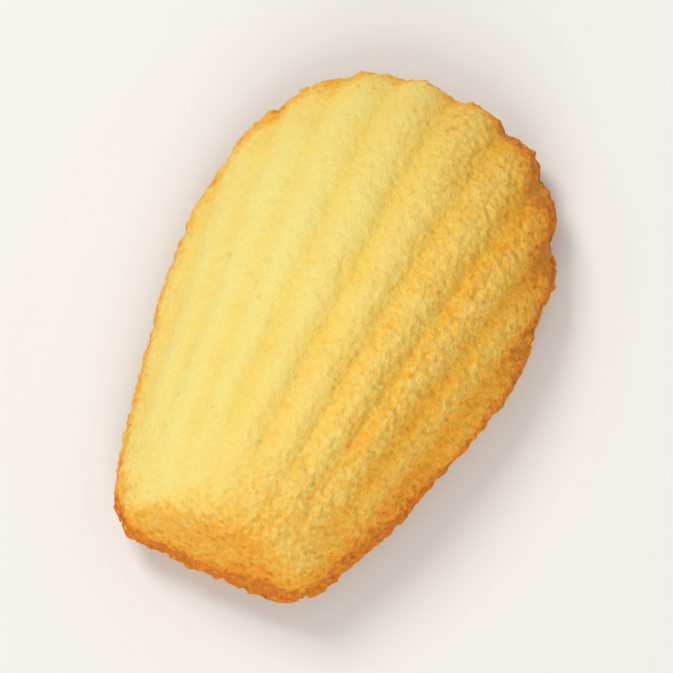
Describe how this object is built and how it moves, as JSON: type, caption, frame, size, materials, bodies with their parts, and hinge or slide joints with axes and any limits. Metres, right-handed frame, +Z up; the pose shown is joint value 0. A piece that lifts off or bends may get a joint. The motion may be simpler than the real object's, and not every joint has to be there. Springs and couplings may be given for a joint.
{
  "type": "madeleine cake",
  "caption": "Small shell-shaped sponge cake with a fluted golden crust, a scalloped wide end, a blunt narrow end and a low hump underneath; lies shell side up.",
  "frame": {"origin": "middle of the outline, on the surface the cake lies on", "axes": "+Y towards the wide scalloped end, +Z up through the fluted shell, +X across"},
  "size_m": [0.0426, 0.0636, 0.0189],
  "materials": {
    "crust": "matt, porous golden crust, browner at the rim"
  },
  "bodies": {
    "root": {"madeleine": "crust"}
  },
  "joints": []
}
